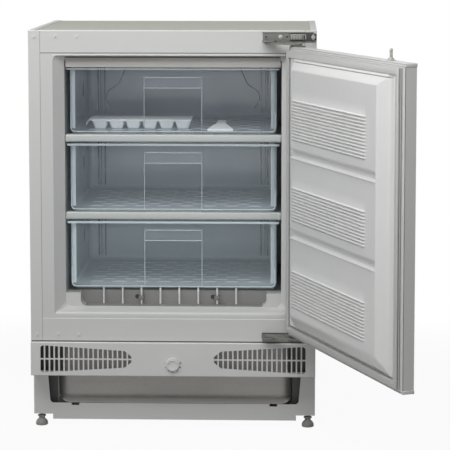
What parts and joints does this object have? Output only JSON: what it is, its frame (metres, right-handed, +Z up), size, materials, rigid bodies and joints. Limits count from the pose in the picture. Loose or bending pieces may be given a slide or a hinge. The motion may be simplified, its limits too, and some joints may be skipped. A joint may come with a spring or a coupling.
{
  "type": "undercounter freezer",
  "caption": "Built-in undercounter freezer with clear pull-out drawers, an insulated door on linked hinges, a front vent panel with thermostat and levelling feet.",
  "frame": {"origin": "on the floor, at the centre of the four levelling feet", "axes": "+X to the right seen from the front, +Y to the back, +Z up"},
  "size_m": [0.7683, 1.1033, 0.842],
  "materials": {
    "white_paint": "satin",
    "galvanised_steel": "satin",
    "insulation_foam": "matte",
    "liner_plastic": "satin",
    "white_plastic": "satin",
    "white_enamel_wire": "gloss",
    "clear_plastic": "gloss",
    "gasket_vinyl": "matte",
    "dark_plastic": "matte",
    "black_paint": "satin",
    "copper": "satin",
    "black_rubber": "matte",
    "zinc_steel": "satin",
    "grey_plastic": "matte"
  },
  "bodies": {
    "cabinet": {"side_panel_left": "white_paint", "side_panel_right": "white_paint", "top_panel": "galvanised_steel", "back_panel": "galvanised_steel", "bottom_panel": "galvanised_steel", "front_top_rail": "white_paint", "front_bottom_rail": "white_paint", "cabinet_foam": "insulation_foam", "inner_liner": "liner_plastic", "hole_plugs": "white_plastic", "evaporator_tubes": "white_enamel_wire", "shelf_wires": "white_enamel_wire", "shelf_supports": "liner_plastic", "shelf_trims": "liner_plastic", "bottom_rack": "white_enamel_wire", "rack_clips": "dark_plastic", "vent_panel": "white_plastic", "thermostat_body": "dark_plastic", "base_front_plate": "white_paint", "air_duct_panel": "galvanised_steel", "base_side_rails": "galvanised_steel", "base_pan": "galvanised_steel", "rear_cross_strip": "galvanised_steel", "cord_gland": "dark_plastic", "foot_inserts": "galvanised_steel", "compressor_mounting_plate": "galvanised_steel", "compressor_grommets": "black_rubber", "compressor_bolts": "galvanised_steel", "compressor_shell": "black_paint", "terminal_box": "dark_plastic", "drip_tray": "dark_plastic", "refrigerant_tubes": "copper", "filter_drier": "copper", "condenser_tube": "black_paint", "condenser_wires": "black_paint", "condenser_brackets": "dark_plastic", "hinge_plate_upper": "zinc_steel", "hinge_plate_lower": "zinc_steel", "hinge_pins": "zinc_steel", "hinge_screws": "zinc_steel"},
    "hinge_arms": {"hinge_arm_upper": "zinc_steel", "hinge_arm_lower": "zinc_steel"},
    "door": {"door_hinge_brackets": "zinc_steel", "door_skin": "white_paint", "door_foam": "insulation_foam", "door_liner": "liner_plastic", "door_gasket": "gasket_vinyl", "door_top_cap": "white_plastic", "door_bottom_cap": "white_plastic", "furniture_stud": "zinc_steel"},
    "top_drawer": {"drawer_top": "clear_plastic"},
    "middle_drawer": {"drawer_middle": "clear_plastic"},
    "bottom_drawer": {"drawer_bottom": "clear_plastic"},
    "tray": {"ice_tray": "white_plastic"},
    "scraper": {"ice_scraper": "white_plastic"},
    "knob": {"thermostat_knob": "white_plastic"},
    "front_left_foot": {"foot_front_left": "grey_plastic"},
    "front_right_foot": {"foot_front_right": "grey_plastic"},
    "rear_left_foot": {"foot_rear_left": "grey_plastic"},
    "rear_right_foot": {"foot_rear_right": "grey_plastic"}
  },
  "joints": [
    {"name": "hinge_arm_swing", "type": "hinge", "parent": "cabinet", "child": "hinge_arms", "pos_m": [0.2, -0.275, 0.515], "axis": [0, 0, 1], "range_deg": [0, 33]},
    {"name": "door_swing", "type": "hinge", "parent": "hinge_arms", "child": "door", "pos_m": [0.25955, -0.31367, 0.515], "axis": [0, 0, 1], "range_deg": [-143.5, 0]},
    {"name": "top_drawer_slide", "type": "slide", "parent": "cabinet", "child": "top_drawer", "axis": [0, -1, 0], "range_m": [0, 0.3]},
    {"name": "middle_drawer_slide", "type": "slide", "parent": "cabinet", "child": "middle_drawer", "axis": [0, -1, 0], "range_m": [0, 0.3]},
    {"name": "bottom_drawer_slide", "type": "slide", "parent": "cabinet", "child": "bottom_drawer", "axis": [0, -1, 0], "range_m": [0, 0.3]},
    {"name": "tray_lift", "type": "slide", "parent": "top_drawer", "child": "tray", "axis": [0, 0, 1], "range_m": [0, 0.09]},
    {"name": "scraper_lift", "type": "slide", "parent": "top_drawer", "child": "scraper", "axis": [0, 0, 1], "range_m": [0, 0.1]},
    {"name": "thermostat_turn", "type": "hinge", "parent": "cabinet", "child": "knob", "pos_m": [0, -0.2653, 0.145], "axis": [0, -1, 0], "range_deg": [0, 270]},
    {"name": "front_left_foot_screw", "type": "slide", "parent": "cabinet", "child": "front_left_foot", "axis": [0, 0, -1], "range_m": [0, 0.05]},
    {"name": "front_right_foot_screw", "type": "slide", "parent": "cabinet", "child": "front_right_foot", "axis": [0, 0, -1], "range_m": [0, 0.05]},
    {"name": "rear_left_foot_screw", "type": "slide", "parent": "cabinet", "child": "rear_left_foot", "axis": [0, 0, -1], "range_m": [0, 0.05]},
    {"name": "rear_right_foot_screw", "type": "slide", "parent": "cabinet", "child": "rear_right_foot", "axis": [0, 0, -1], "range_m": [0, 0.05]}
  ],
  "couplings": [
    {"joint": "hinge_arm_swing", "follows": "door_swing", "ratio": -0.22997}
  ]
}
